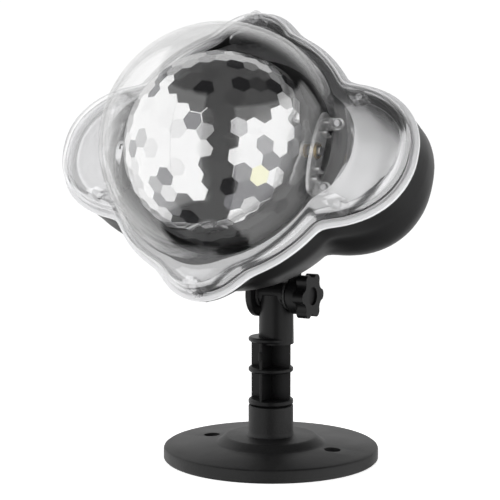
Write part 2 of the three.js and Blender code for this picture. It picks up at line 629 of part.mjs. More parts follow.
// ---- fasteners ----
// A pan-head screw along n: head at headN, shank running forward to tipN.
const screwProfile = (headRadius, headDepth, shankRadius, headN, tipN) => [
  [0, headN - headDepth], [headRadius * 0.8, headN - headDepth], [headRadius, headN - headDepth * 0.4],
  [headRadius, headN], [shankRadius, headN], [shankRadius, tipN - 1], [0, tipN],
];
SCREW_PLACES.forEach((at, i) => {
  const headN = screwSeat(at) - GAP;
  const screw = turnedFace(screwProfile(2.7, 2, 1.3, headN, 1.8), 8);
  piece(lamp, `case_screw_${i + 1}`, closed(inLamp(screw, ...at, 0)), steel);
});

[MOTOR_FOOT_SCREW, IDLER_FOOT_SCREW].forEach((x, i) => {
  [-1, 1].forEach((end, k) => {
    const seat = FOOT_LEVEL + FOOT_THICKNESS + GAP;
    const screw = turnedFace([
      [0, TRAY_FACE], [0.9, TRAY_FACE], [0.9, seat], [2.1, seat], [2.1, seat + 1],
      [1.4, seat + 1.5], [0, seat + 1.5],
    ], 8);
    piece(lamp, `bracket_screw_${2 * i + k + 1}`, closed(inLamp(screw, x, end * TAB_SCREWS, 0)), steel);
  });
});
[-1, 1].forEach((side, i) => {
  const screw = turnedFace([
    [0, -65], [0.9, -65], [0.9, -57.5], [2, -57.5], [2, -56.9], [0, -56.7],
  ], 8);
  piece(lamp, `led_screw_${i + 1}`, closed(inLamp(screw, side * 7, 0, 0)), steel);
});

// ---- cable gland in the housing's back ----
const glandBody = turnedFace([
  [2.6, -80], [4.4, -80], [6.6, -76.6], [7.4, -75.6], [7.4, -72.8], [4.1, -72.8], [4.1, -67],
  [2.6, -67], [2.6, -80],
], 20);
piece(lamp, 'cable_gland', closed(inLamp(glandBody, 0, GLAND_UP, 0)), rubber);
const nutBlank = turnedFace(rod(7, -70, -67.4), 6);
const nutBore = turnedFace(rod(4.4, -72, -65), 16);
piece(lamp, 'gland_nut', inLamp(carve([nutBlank], [nutBore]), 0, GLAND_UP, 0), blackPlastic);

// ---- tilt hinge ----
const WASHER = [TONGUE_HALF + GAP, EAR_INSIDE - GAP];
for (const [name, side] of [['left', -1], ['right', 1]]) {
  const [low, high] = side > 0 ? WASHER : [-WASHER[1], -WASHER[0]];
  piece(head, `friction_washer_${name}`, closed(turnedAcross(ring(BOLT_HOLE, 7.6, low, high), 20)), rubber);
}
const KNOB_FACE = RIGHT_EAR_OUTSIDE + GAP;
const KNOB_STAGE = 4.7;
const KNOB_DEPTH = 10.3;
function hingeBolt() {
  const seat = -LEFT_EAR_OUTSIDE - GAP;
  const hexHead = turnedAcross(rod(4.6, seat - 3.2, seat), 6);
  const shank = turnedAcross(rod(BOLT_RADIUS, seat - 1, KNOB_FACE + 8), 16);
  return carve([hexHead, shank]);
}
piece(head, 'hinge_bolt', hingeBolt(), steel);

function starKnob() {
  const outline = [];
  for (let i = 0; i < KNOB_LOBES * 6; i += 1) {
    const angle = (i / (KNOB_LOBES * 6)) * 2 * Math.PI;
    const wave = Math.cos(KNOB_LOBES * angle);
    const r = KNOB_RADIUS - 1.5 + 1.5 * Math.sign(wave) * Math.abs(wave) ** 0.6;
    outline.push([r * Math.cos(angle), r * Math.sin(angle)]);
  }
  const star = sidePrism(outline, KNOB_FACE + KNOB_STAGE, KNOB_FACE + KNOB_DEPTH);
  const stage = turnedAcross(rod(9.6, KNOB_FACE, KNOB_FACE + KNOB_STAGE + 0.5), 24);
  const bore = turnedAcross(rod(4.2, KNOB_FACE - 1, KNOB_FACE + 8.6), 16);
  const dish = turnedAcross(rod(4.6, KNOB_FACE + KNOB_DEPTH - 1.2, KNOB_FACE + KNOB_DEPTH + 1), 20);
  return carve([star, stage], [bore, dish]);
}
piece(head, 'star_knob', starKnob(), blackPlastic);
const insert = turnedAcross(ring(BOLT_HOLE, 3.9, KNOB_FACE + 0.2, KNOB_FACE + 8.2), 16);
piece(head, 'knob_insert', closed(insert), brass);

export default projector;
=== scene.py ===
import json
import math

import bmesh
import bpy
import numpy as np
from mathutils import Matrix, Vector


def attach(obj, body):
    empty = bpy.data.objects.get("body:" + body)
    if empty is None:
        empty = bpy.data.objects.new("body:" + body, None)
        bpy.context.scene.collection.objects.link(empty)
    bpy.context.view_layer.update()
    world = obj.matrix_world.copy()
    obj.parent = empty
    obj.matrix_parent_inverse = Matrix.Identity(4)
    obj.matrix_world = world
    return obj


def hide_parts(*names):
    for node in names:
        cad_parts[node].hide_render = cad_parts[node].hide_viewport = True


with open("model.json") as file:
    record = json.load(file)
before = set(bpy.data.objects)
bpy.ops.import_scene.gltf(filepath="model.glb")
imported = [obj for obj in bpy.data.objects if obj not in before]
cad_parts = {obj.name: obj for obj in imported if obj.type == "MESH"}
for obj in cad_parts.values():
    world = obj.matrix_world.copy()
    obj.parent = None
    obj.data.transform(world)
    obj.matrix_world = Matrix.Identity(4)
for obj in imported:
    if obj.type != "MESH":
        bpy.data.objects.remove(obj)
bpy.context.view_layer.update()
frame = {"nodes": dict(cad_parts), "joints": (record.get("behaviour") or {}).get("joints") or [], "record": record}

# Snowfall light projector on a plug-in foot. Lengths in the tables are millimetres.
# Lamp coordinates are x across, u up the lamp, and n out of its face.
# n = 0 is the plane through the middle of the faceted ball.
MM = 0.001
REST_TILT = math.radians(25.5)
BALL_X = -2.5
joints = {joint["name"]: joint for joint in frame["joints"]}
HINGE = Vector(joints["tilt"]["pos_m"])
BALL_CENTRE = Vector(joints["ball_spin"]["pos_m"])
LAMP_CENTRE = BALL_CENTRE - Vector((BALL_X * MM, 0, 0))
# from lamp coordinates (x, u, n) in millimetres to the row frame in metres
LAMP = (
    Matrix.Translation(LAMP_CENTRE)
    @ Matrix.Rotation(-REST_TILT, 4, "X")
    @ Matrix(((1, 0, 0, 0), (0, 0, -1, 0), (0, 1, 0, 0), (0, 0, 0, 1)))
    @ Matrix.Diagonal((MM, MM, MM, 1))
)
WORLD = Matrix.Diagonal((MM, MM, MM, 1))
# the hinge's own axes: x along the bolt, from the middle of the hinge
HINGE_FRAME = Matrix.Translation(HINGE) @ WORLD

SHARP_ANGLE = math.radians(32)
OUTLINE_STEPS = 216
SIDE_LOBE = {"at": 50, "length": 45.2, "width": 35.8, "power": 2.2}
END_LOBE = {"at": 47.8, "radius": 26.4}
CORNER_SHARPNESS = 34
GONE = 99
RIM_BACK = -7
DOME_RADIUS = 57.8
DOME_WALL = 1.6
DOME_CENTRE = 5
BALL_RADIUS = 46.5
BALL_WALL = 1.6
FACET_FREQUENCY = 7
FACET_TILT = 0.006
FACET_EDGE_WIDTH = 0.2
FACET_SEED = 7
TONE_SEED = 11
# a facet's tone runs from 0, dark, to 1, bright. The one facet where the LED shows through has a tone of its own,
# for a painted warm tint that stands in for the LED seen through the ball.
PAINTED_LED_TONE = 2
PAINTED_LED_FACET = (0.77, -0.4, 0.48)  # the way to the painted LED facet from the ball's middle
SCREW_PLACES = [(-63.7, 26.1), (63.7, 26.1), (-63.7, -26.1), (63.7, -26.1), (0, 69.3), (0, -69.3)]


# ---- materials ----
def new_material(name):
    material = bpy.data.materials.new(name)
    material.use_nodes = True
    nodes = material.node_tree.nodes
    nodes.clear()
    output = nodes.new("ShaderNodeOutputMaterial")
    shader = nodes.new("ShaderNodeBsdfPrincipled")
    material.node_tree.links.new(shader.outputs[0], output.inputs[0])
    return material, shader


def noise_of(material, scale, detail=4.0, stretch=(1, 1, 1)):
    tree = material.node_tree
    place = tree.nodes.new("ShaderNodeTexCoord")
    mapping = tree.nodes.new("ShaderNodeMapping")
    mapping.inputs["Scale"].default_value = stretch
    noise = tree.nodes.new("ShaderNodeTexNoise")
    noise.inputs["Scale"].default_value = scale
    noise.inputs["Detail"].default_value = detail
    tree.links.new(place.outputs["Object"], mapping.inputs[0])
    tree.links.new(mapping.outputs[0], noise.inputs["Vector"])
    return noise.outputs["Fac"]


def ramp_of(material, source, low, high, start=0.35, end=0.65):
    ramp = material.node_tree.nodes.new("ShaderNodeValToRGB")
    ramp.color_ramp.elements[0].position = start
    ramp.color_ramp.elements[1].position = end
    ramp.color_ramp.elements[0].color = (*low, 1)
    ramp.color_ramp.elements[1].color = (*high, 1)
    material.node_tree.links.new(source, ramp.inputs[0])
    return ramp.outputs["Color"]


def range_of(material, source, low, high):
    remap = material.node_tree.nodes.new("ShaderNodeMapRange")
    remap.inputs["To Min"].default_value = low
    remap.inputs["To Max"].default_value = high
    material.node_tree.links.new(source, remap.inputs[0])
    return remap.outputs[0]


def bump(material, shader, source, strength, depth):
    node = material.node_tree.nodes.new("ShaderNodeBump")
    node.inputs["Strength"].default_value = strength
    node.inputs["Distance"].default_value = depth
    material.node_tree.links.new(source, node.inputs["Height"])
    material.node_tree.links.new(node.outputs[0], shader.inputs["Normal"])


# noise scales: slow changes of colour and of gloss, on solid and on clear surfaces
CLOUD_SCALE = 25
GLOSS_SCALE = 75
CLEAR_CLOUD_SCALE = 40
CLEAR_GLOSS_SCALE = 60
CLEAR_WAVE_SCALE = 45
MIRROR_GLOSS_SCALE = 120
SLANT_POWER = 3.6  # how late clear plastic turns from see-through to mirror as it slants


def surface(name, dark, light, rough, metal=0.0, grain=900, grain_depth=0.00003, strength=0.3,
            stretch=(1, 1, 1), gloss=0.5):
    """A moulded or metal surface: slow colour and gloss variation, with a fine grain."""
    material, shader = new_material(name)
    links = material.node_tree.links
    links.new(ramp_of(material, noise_of(material, CLOUD_SCALE), dark, light), shader.inputs["Base Color"])
    links.new(range_of(material, noise_of(material, GLOSS_SCALE), *rough), shader.inputs["Roughness"])
    shader.inputs["Metallic"].default_value = metal
    shader.inputs["Specular IOR Level"].default_value = gloss
    bump(material, shader, noise_of(material, grain, 2.0, stretch), strength, grain_depth)
    return material


def clear(name, facing, grazing, rough, body=(1, 1, 1), metal=1.0):
    """Clear plastic as a thin wall: it shows what is behind it, and mirrors more at a slant."""
    material, shader = new_material(name)
    tree = material.node_tree
    links = tree.links
    cloud = noise_of(material, CLEAR_CLOUD_SCALE)
    links.new(ramp_of(material, cloud, [0.94 * c for c in body], body), shader.inputs["Base Color"])
    gloss = noise_of(material, CLEAR_GLOSS_SCALE)
    links.new(range_of(material, gloss, rough, rough * 2), shader.inputs["Roughness"])
    shader.inputs["Metallic"].default_value = metal
    bump(material, shader, noise_of(material, CLEAR_WAVE_SCALE, 2.0), 0.12, 0.00002)
    slant = tree.nodes.new("ShaderNodeLayerWeight")
    slant.inputs["Blend"].default_value = 0.5
    curve = tree.nodes.new("ShaderNodeMath")
    curve.operation = "POWER"
    curve.inputs[1].default_value = SLANT_POWER
    links.new(slant.outputs["Facing"], curve.inputs[0])
    see_through = tree.nodes.new("ShaderNodeBsdfTransparent")
    mix = tree.nodes.new("ShaderNodeMixShader")
    links.new(range_of(material, curve.outputs[0], facing, grazing), mix.inputs[0])
    links.new(see_through.outputs[0], mix.inputs[1])
    links.new(shader.outputs[0], mix.inputs[2])
    links.new(mix.outputs[0], tree.nodes["Material Output"].inputs[0])
    return material


BLACK = surface("black_abs", (0.004, 0.004, 0.0042), (0.007, 0.007, 0.0073), (0.34, 0.46), gloss=0.2)
GRAINED = surface("grained_abs", (0.006, 0.006, 0.0062), (0.012, 0.012, 0.0123), (0.42, 0.54),
                  grain=1300, grain_depth=0.00016, strength=0.7, gloss=0.3)
INNER = surface("inner_abs", (0.05, 0.05, 0.052), (0.07, 0.07, 0.072), (0.4, 0.52), gloss=0.4)
SILVER = surface("silver_coat", (0.36, 0.36, 0.365), (0.45, 0.45, 0.455), (0.2, 0.3), 1.0,
                 grain=2600, grain_depth=0.00004, strength=0.5)
REFLECTOR = surface("reflector_coat", (0.8, 0.8, 0.8), (0.9, 0.9, 0.89), (0.24, 0.34), 0.35)
STEEL = surface("zinc_steel", (0.42, 0.42, 0.43), (0.6, 0.6, 0.61), (0.25, 0.38), 1.0, stretch=(1, 8, 1))
BRASS = surface("turned_brass", (0.5, 0.37, 0.16), (0.66, 0.5, 0.24), (0.25, 0.38), 1.0)
ALUMINIUM = surface("cast_aluminium", (0.48, 0.49, 0.5), (0.62, 0.63, 0.64), (0.4, 0.52), 1.0)
RUBBER = surface("black_rubber", (0.012, 0.012, 0.012), (0.022, 0.022, 0.022), (0.6, 0.75), grain=1200)
BOARD = surface("solder_mask", (0.01, 0.09, 0.04), (0.02, 0.14, 0.06), (0.3, 0.42), grain=2000)
PHOSPHOR = surface("led_phosphor", (0.8, 0.68, 0.25), (0.9, 0.8, 0.4), (0.45, 0.55), grain=2500)
COVER = clear("clear_cover_pc", 0.035, 0.8, 0.02)
# painted reflection: the rim band and the screw bosses are whiter and more mirrored than the clear cover
COVER_PAINTED_REFLECTION = clear("clear_cover_painted_reflection", 0.4, 0.95, 0.12, (0.92, 0.92, 0.93), 0.85)
# painted highlight: the flange is a near-opaque white that stands in for the bright refracted light along thick
# clear plastic
COVER_EDGE_HIGHLIGHT = clear("clear_cover_edge_highlight", 0.85, 1.0, 0.3, (0.9, 0.9, 0.91), 0.1)
# painted highlight: the clear idler bracket is made whitish and half opaque for its bright highlights
BRACKET_CLEAR_HIGHLIGHT = clear("clear_bracket_highlight_pc", 0.5, 0.95, 0.12, (0.95, 0.95, 0.95), 0.5)


FACET_DARK = (0.2, 0.2, 0.21)
FACET_BRIGHT = (0.93, 0.93, 0.93)
# painted LED: the warm tint of the one facet where the LED shows through
FACET_PAINTED_LED = (0.93, 0.92, 0.68)


def part_mirror(name, metal, alpha):
    """Thinly metallised clear plastic. Each facet's own tone comes from the mesh; the warm tint of one facet is
    the painted LED showing through.
    """
    material, shader = new_material(name)
    tree = material.node_tree
    tone = tree.nodes.new("ShaderNodeAttribute")
    tone.attribute_name = "facet_tone"
    grey = ramp_of(material, tone.outputs["Fac"], FACET_DARK, FACET_BRIGHT, 0.1, 0.5)
    # painted LED: the facet with that tone gets the warm tint
    painted_led = tree.nodes.new("ShaderNodeMix")
    painted_led.data_type = "RGBA"
    tree.links.new(grey, painted_led.inputs["A"])
    painted_led.inputs["B"].default_value = (*FACET_PAINTED_LED, 1)
    is_painted_led = tree.nodes.new("ShaderNodeMath")
    is_painted_led.operation = "GREATER_THAN"
    is_painted_led.inputs[1].default_value = PAINTED_LED_TONE - 0.5
    tree.links.new(tone.outputs["Fac"], is_painted_led.inputs[0])
    tree.links.new(is_painted_led.outputs[0], painted_led.inputs["Factor"])
    tree.links.new(painted_led.outputs["Result"], shader.inputs["Base Color"])
    gloss = noise_of(material, MIRROR_GLOSS_SCALE)
    tree.links.new(range_of(material, gloss, 0.02, 0.06), shader.inputs["Roughness"])
    shader.inputs["Metallic"].default_value = metal
    shader.inputs["Alpha"].default_value = alpha
    return material


FACETED = part_mirror("facet_coat", 0.9, 0.72)
BALL_INSIDE = part_mirror("facet_inside", 0.6, 0.12)
# painted highlight: a lighter, opaque coat on the bevel strips stands in for the glints along the facet edges
FACET_EDGE_HIGHLIGHT = surface("facet_edge_highlights", (0.78, 0.78, 0.79), (0.9, 0.9, 0.91), (0.12, 0.2), 0.8, strength=0.05)
MATERIAL_OF_SLOT = {
    "black_plastic": BLACK, "inner_plastic": INNER, "clear_plastic": COVER, "silver_coat": SILVER,
    "ball_facets": FACETED, "steel": STEEL, "brass": BRASS, "aluminium": ALUMINIUM, "rubber": RUBBER,
    "circuit_board": BOARD, "phosphor": PHOSPHOR,
}
for subpart in frame["record"]["subparts"]:
    node = frame["nodes"][subpart["node"]]
    node.data.materials.clear()
    node.data.materials.append(MATERIAL_OF_SLOT[subpart["material_slot"]])


# ---- meshes ----
def joined(*parts):
    corners, faces = [], []
    for part_corners, part_faces in parts:
        start = len(corners)
        corners += [tuple(c) for c in part_corners]
        faces += [tuple(start + i for i in face) for face in part_faces]
    return corners, faces


def smoothed(mesh):
    mesh.shade_smooth()
    mesh.set_sharp_from_angle(angle=SHARP_ANGLE)


def make(name, shape, matrix):
    """A mesh object in the row frame from (corners, faces) in a local frame."""
    corners, faces = shape
    mesh = bpy.data.meshes.new(name)
    mesh.from_pydata([matrix @ Vector(c) for c in corners], [], faces)
    work = bmesh.new()
    work.from_mesh(mesh)
    bmesh.ops.remove_doubles(work, verts=work.verts, dist=0.000002)
    bmesh.ops.recalc_face_normals(work, faces=work.faces)
    work.to_mesh(mesh)
    work.free()
    smoothed(mesh)
    obj = bpy.data.objects.new(name, mesh)
    bpy.context.scene.collection.objects.link(obj)
    return obj


def baked(obj):
    """Applies the modifiers."""
    result = bpy.data.meshes.new_from_object(obj.evaluated_get(bpy.context.evaluated_depsgraph_get()))
    obj.modifiers.clear()
    obj.data = result
    smoothed(result)


def boolean(obj, other, operation):
    """Cuts another object from this one or joins it on, and removes the other."""
    modifier = obj.modifiers.new("cut", "BOOLEAN")
    modifier.operation = operation
    modifier.object = other
    modifier.solver = "EXACT"
    baked(obj)
    bpy.data.objects.remove(other)


def edged(obj, width, segments=2):
    """Rounds the sharp edges, by a width in millimetres."""
    modifier = obj.modifiers.new("edges", "BEVEL")
    modifier.width = width * MM
    modifier.segments = segments
    modifier.limit_method = "ANGLE"
    modifier.angle_limit = SHARP_ANGLE
    return obj


def settle(obj, body, material, slot, *nodes):
    """Gives a piece its material and body, and hides the CAD nodes that it stands for. The slot is not used."""
    obj.data.materials.clear()
    obj.data.materials.append(material)
    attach(obj, body)
    if nodes:
        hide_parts(*nodes)


def rings(levels, close=False):
    """Skins rings of equal length. A ring of one point is a cap's middle."""
    corners, starts = [], []
    steps = max(len(ring) for ring in levels)
    for ring in levels:
        starts.append(len(corners))
        corners += [tuple(p) for p in ring]
    faces = []
    pairs = list(zip(range(len(levels)), range(1, len(levels))))
    if close:
        pairs.append((len(levels) - 1, 0))
    for a, b in pairs:
        for i in range(steps):
            j = (i + 1) % steps
            face = []
            for level, k in ((a, i), (a, j), (b, j), (b, i)):
                index = starts[level] + (k if len(levels[level]) > 1 else 0)
                if index not in face:
                    face.append(index)
            if len(face) > 2:
                faces.append(face)
    return corners, faces


def lathe(profile, steps=64, axis="z", close=False):
    """Turns a profile of (radius, height) about an axis of its frame."""
    levels = []
    for radius, height in profile:
        if radius == 0:
            ring = [(0, 0, height)]
        else:
            turns = [2 * math.pi * i / steps for i in range(steps)]
            ring = [(radius * math.cos(t), radius * math.sin(t), height) for t in turns]
        levels.append([turn_to(point, axis) for point in ring])
    return rings(levels, close)


def turn_to(point, axis):
    x, y, z = point
    return (z, x, y) if axis == "x" else (x, y, z)


def rod(radius, low, high):
    return [(0, low), (radius, low), (radius, high), (0, high)]


def moved(shape, x=0.0, y=0.0, z=0.0):
    return [(a + x, b + y, c + z) for a, b, c in shape[0]], shape[1]


def prism(outline, low, high, axis="z"):
    """An outline of (a, b) points carried from low to high along an axis."""
    count = len(outline)
    corners = [turn_to((a, b, h), axis) for h in (low, high) for a, b in outline]
    faces = [tuple(range(count)), tuple(range(count, 2 * count))]
    faces += [(i, (i + 1) % count, count + (i + 1) % count, count + i) for i in range(count)]
    return corners, faces


def block(low, high):
    outline = [(low[0], low[1]), (high[0], low[1]), (high[0], high[1]), (low[0], high[1])]
    return prism(outline, low[2], high[2])


def arc(cx, cy, radius, start, end, steps):
    turns = [math.radians(start + (end - start) * i / steps) for i in range(steps + 1)]
    return [(cx + radius * math.cos(t), cy + radius * math.sin(t)) for t in turns]


def rounded_box(half_width, half_height, corner, steps=6):
    points = []
    for quarter, (sx, sy) in enumerate(((1, 1), (-1, 1), (-1, -1), (1, -1))):
        points += arc(sx * (half_width - corner), sy * (half_height - corner), corner,
                      90 * quarter, 90 * quarter + 90, steps)
    return points


# ---- the lamp's cross-shaped outline ----
ANGLES = np.arange(OUTLINE_STEPS) / OUTLINE_STEPS * 2 * math.pi


def side_reach(angles, inset):
    along, across = inset if isinstance(inset, (list, tuple)) else (inset, inset)
    length, width = SIDE_LOBE["length"] - along, SIDE_LOBE["width"] - across
    if length <= 1 or width <= 1:
        return np.zeros(len(angles))
    power = SIDE_LOBE["power"]
    c, s = abs(np.cos(angles)), abs(np.sin(angles))
    reaches = np.arange(40, SIDE_LOBE["at"] + length + 0.2, 0.1)[:, None]
    inside = (abs((reaches * c - SIDE_LOBE["at"]) / length) ** power + abs(reaches * s / width) ** power) <= 1
    return np.where(inside, reaches, 0).max(0)


def end_reach(angles, inset):
    radius = END_LOBE["radius"] - inset
    aside = END_LOBE["at"] * np.cos(angles)
    seen = np.sqrt(np.clip(radius**2 - aside**2, 0, None))
    found = (radius > abs(aside)) if radius > 0 else np.zeros(len(angles), bool)
    return np.where(found, END_LOBE["at"] * abs(np.sin(angles)) + seen, 0)


def reach(angles, body, side, end):
    parts = np.array([np.full(len(angles), float(body)), side_reach(angles, side), end_reach(angles, end)])
    top = parts.max(0)
    return top * ((parts / top) ** CORNER_SHARPNESS).sum(0) ** (1 / CORNER_SHARPNESS)


def smooth_run(levels, steps):
    """Catmull-Rom rings between levels of [body radius, side inset, end inset, n]."""
    made = np.array([np.append(reach(ANGLES, *level[:3]), level[3]) for level in levels])
    padded = np.vstack([2 * made[0] - made[1], made, 2 * made[-1] - made[-2]])
    rows = []
    for k in range(1, len(padded) - 2):
        p0, p1, p2, p3 = padded[k - 1:k + 3]
        for i in range(steps):
            t = i / steps
            rows.append(0.5 * (2 * p1 + (p2 - p0) * t + (2 * p0 - 5 * p1 + 4 * p2 - p3) * t**2
                               + (3 * p1 - p0 - 3 * p2 + p3) * t**3))
    rows.append(made[-1])
    return rows


def lamp_skin(runs, steps=3):
    """Rings in lamp coordinates. Runs are smooth inside, with an edge where two meet."""
    levels = []
    for run in runs:
        if isinstance(run, (int, float)):
            levels.append([(0, 0, run)])
            continue
        for row in smooth_run(run, steps):
            levels.append([(r * math.cos(a), r * math.sin(a), row[-1]) for r, a in zip(row, ANGLES)])
    return levels


# ---- rear housing ----
HOUSING_OUTSIDE = [
    [64.7, 0.8, 0.8, RIM_BACK], [64.7, 0.8, 3.4, -11.5], [64.5, 0.8, 9, -16], [63.4, [1, 0.8], 19, -21],
    [60.4, [2.2, -0.4], GONE, -30], [56.6, [5, -0.6], GONE, -38], [52.4, [9.4, 2.4], GONE, -45.4],
    [49, [15, 7.4], GONE, -50.6], [46.2, [22, 14], GONE, -54], [44.4, GONE, GONE, -56],
    [39.2, GONE, GONE, -61.4], [32.6, GONE, GONE, -66.6], [26, GONE, GONE, -70.4], [20, GONE, GONE, -72.5],
]
HOUSING_INSIDE = [
    [19.2, GONE, GONE, -70.3], [24, GONE, GONE, -68.7], [30.2, GONE, GONE, -65],
    [36.8, GONE, GONE, -59.8], [42.4, GONE, GONE, -54], [44.4, [22.4, 15], GONE, -51.4],
    [47.2, [16.8, 9.4], GONE, -48.2], [50.6, [11.6, 4.8], GONE, -43.8], [54.6, [7.4, 2], GONE, -37],
    [58.4, [4.6, 1.8], GONE, -29], [61, [3.2, 2.6], 20, -20], [62.2, 3, 9, -14], [62.4, 3, 3, RIM_BACK],
]
HINGE_U, HINGE_N = -45.4, -77.3
LEFT_EAR = {"radius": 12, "low": -11.6, "high": -8.4, "root": [
    (-12, -71.4), (-24, -69.8), (-31, -65.6), (-37.4, -60.2), (-42.4, -54.6)], "start": 105}
RIGHT_EAR = {"radius": 7.6, "low": 8.4, "high": 10.2, "root": [
    (-9, -71.4), (-15, -71.4), (-21.5, -70.6)], "start": 60}
EAR_ARC_END = 300
BOLT_HOLE = 2.8
SCREW_BORE = 3.1
GLAND_U = -9
GLAND_BORE = 4.4
HOUSING_NODES = ["housing_back", "housing_left", "housing_right", "housing_top", "housing_bottom"]


def hinge_ear(ear):
    outline = ear["root"] + arc(HINGE_U, HINGE_N, ear["radius"], ear["start"], EAR_ARC_END, 36)
    return prism(outline, ear["low"], ear["high"], "x")


def rear_housing():
    shell = make("rear_housing_shell", rings(
        lamp_skin([HOUSING_OUTSIDE, -72.5, -70.3, HOUSING_INSIDE]), close=True), LAMP)
    bores = [moved(lathe(rod(SCREW_BORE, -60, -11.5 if x == 0 else -20), 24), x, u)
             for x, u in SCREW_PLACES]
    boolean(shell, make("screw_bores", joined(*bores), LAMP), "DIFFERENCE")
    gland_bore = moved(lathe(rod(GLAND_BORE, -80, -60), 32), 0, GLAND_U)
    boolean(shell, make("gland_bore", gland_bore, LAMP), "DIFFERENCE")
    settle(shell, "head", BLACK, "black_plastic", *HOUSING_NODES)
    bore = moved(lathe(rod(BOLT_HOLE, -20, 20), 32, "x"), 0, HINGE_U, HINGE_N)
    for name, ear in (("left", LEFT_EAR), ("right", RIGHT_EAR)):
        plate = make(f"housing_ear_{name}", hinge_ear(ear), LAMP)
        boolean(plate, make("ear_bore", bore, LAMP), "DIFFERENCE")
        edged(plate, 0.5, 3)
        settle(plate, "head", BLACK, "black_plastic", f"hinge_ear_{name}")


# ---- clear front cover ----
def on_dome(radius, degrees):
    angle = math.radians(degrees)
    return [radius * math.cos(angle), GONE, GONE, DOME_CENTRE + radius * math.sin(angle)]


COVER_FLANGE = [[65.5, 0, 0, -5], [65.5, 0, 0, -3.4]]
COVER_STEP = [[65.5, 0, 0, -3.4], [63.8, 1.9, 1.9, -3.2]]
COVER_WALL = [
    [63.8, 1.9, 1.9, -3.2], [63.8, 2.2, 2.2, 1], [62.9, 4.2, 4.2, 4.6], [60.8, 8.5, 8.5, 6.6],
    [58.2, GONE, GONE, 7.6],
]
COVER_DOME = [on_dome(DOME_RADIUS, d) for d in (6, 14, 24, 34, 44, 54, 64, 74, 83)]
INNER_DOME = [on_dome(DOME_RADIUS - DOME_WALL, d) for d in (83, 74, 64, 54, 44, 34, 24, 14, 5)]
INNER_WALL = [
    [57.4, GONE, GONE, 5.8], [59.8, 9.4, 9.4, 5], [61.4, 5.9, 5.9, 3.4], [62.2, 3.9, 3.9, 0],
    [62.2, 3.7, 3.7, -5],
]
COVER_NODES = ["cover_dome", "cover_lobe_left", "cover_lobe_right", "cover_lobe_top", "cover_lobe_bottom"]
FLANGE_TOP = -3.1
BAND_LOW, BAND_HIGH = 0.8, 5.6
BOSS_RADIUS = 3.4
BOSS_REACH = 3.9
BOSS_BORE = 1.7


def front_cover():
    pole = DOME_CENTRE + DOME_RADIUS
    shell = make("front_cover_shell", rings(lamp_skin([
        COVER_FLANGE, COVER_STEP, COVER_WALL, COVER_DOME, pole, pole - DOME_WALL, INNER_DOME, INNER_WALL,
    ]), close=True), LAMP)
    bosses = [moved(lathe(rod(BOSS_RADIUS, -4.8, 3 if x == 0 else 5), 32), x, u)
              for x, u in SCREW_PLACES]
    boolean(shell, make("bosses", joined(*bosses), LAMP), "UNION")
    bores = [moved(lathe(rod(BOSS_BORE, -8, 2.4), 24), x, u) for x, u in SCREW_PLACES]
    boolean(shell, make("boss_bores", joined(*bores), LAMP), "DIFFERENCE")
    settle(shell, "head", COVER, "clear_plastic", *COVER_NODES)
    shell.data.materials.append(COVER_PAINTED_REFLECTION)
    shell.data.materials.append(COVER_EDGE_HIGHLIGHT)
    to_lamp = LAMP.inverted()
    for face in shell.data.polygons:
        x, u, n = to_lamp @ face.center
        boss = min(math.hypot(x - a, u - b) for a, b in SCREW_PLACES) < BOSS_REACH
        # painted reflection on the rim band and the screw bosses
        reflection_band = BAND_LOW < n < BAND_HIGH
        # painted highlight on the flange
        face.material_index = 2 if n < FLANGE_TOP and not boss else (1 if reflection_band or boss else 0)


def gasket():
    back, front = RIM_BACK + 0.3, -5.3
    levels = [
        [[65, 0.5, 0.5, back], [65, 0.5, 0.5, front]],
        [[65, 0.5, 0.5, front], [62.6, 2.9, 2.9, front]],
        [[62.6, 2.9, 2.9, front], [62.6, 2.9, 2.9, back]],
    ]
    seal = make("gasket_ring", rings(lamp_skin(levels, 1), close=True), LAMP)
    settle(seal, "head", RUBBER, "rubber", "cover_gasket")


# ---- silver panels ----
# (share of the outline, height) from the skirt up over the crown
PANEL_BOTTOM = -4.6
PANEL_CROWN = [
    (0.985, PANEL_BOTTOM), (1, -4.2), (0.98, -2.65), (0.94, -1.54), (0.88, -0.5), (0.8, 0.48),
    (0.7, 1.37), (0.6, 2.04), (0.5, 2.55), (0.4, 2.95), (0.3, 3.24), (0.2, 3.44), (0.1, 3.56),
]
PANEL_TOP = 3.6
PANEL_INNER = 60
PANEL_STEPS = 64
SCREW_CLEARANCE = 4.1


def lobe_outline(inset, middle, half_angle):
    """The lobe's own edge, PANEL_STEPS points of it, and back along the arc nearest the ball."""
    angles = np.radians(np.linspace(middle - half_angle, middle + half_angle, PANEL_STEPS))
    outer = reach(angles, PANEL_INNER + 0.4, inset, inset)
    points = [(r * math.cos(a), r * math.sin(a)) for r, a in zip(outer, angles)]
    return points + [(PANEL_INNER * math.cos(a), PANEL_INNER * math.sin(a)) for a in angles[::-4]]


def lobe_panel(name, middle, half_angle, inset, node):
    outline = lobe_outline(inset, middle, half_angle)
    outer, inner = outline[:PANEL_STEPS], outline[PANEL_STEPS:]
    centre = np.mean(outer, axis=0) * 0.5 + np.mean(inner, axis=0) * 0.5
    levels = [
        [(centre[0] + (x - centre[0]) * share, centre[1] + (u - centre[1]) * share, height)
         for x, u in outline]
        for share, height in PANEL_CROWN
    ]
    levels = [[(*centre, PANEL_BOTTOM)]] + levels + [[(*centre, PANEL_TOP)]]
    panel = make(name, rings(levels), LAMP)
    for x, u in SCREW_PLACES:
        cutter = make("clearance", moved(lathe(rod(SCREW_CLEARANCE, -9, 9), 32), x, u), LAMP)
        boolean(panel, cutter, "DIFFERENCE")
    settle(panel, "head", SILVER, "silver_coat", node)


# ---- inner tray and reflector ----
TRAY_DEPTH = 46.6
TRAY_STEPS = 20
WINDOW = (22, 34)


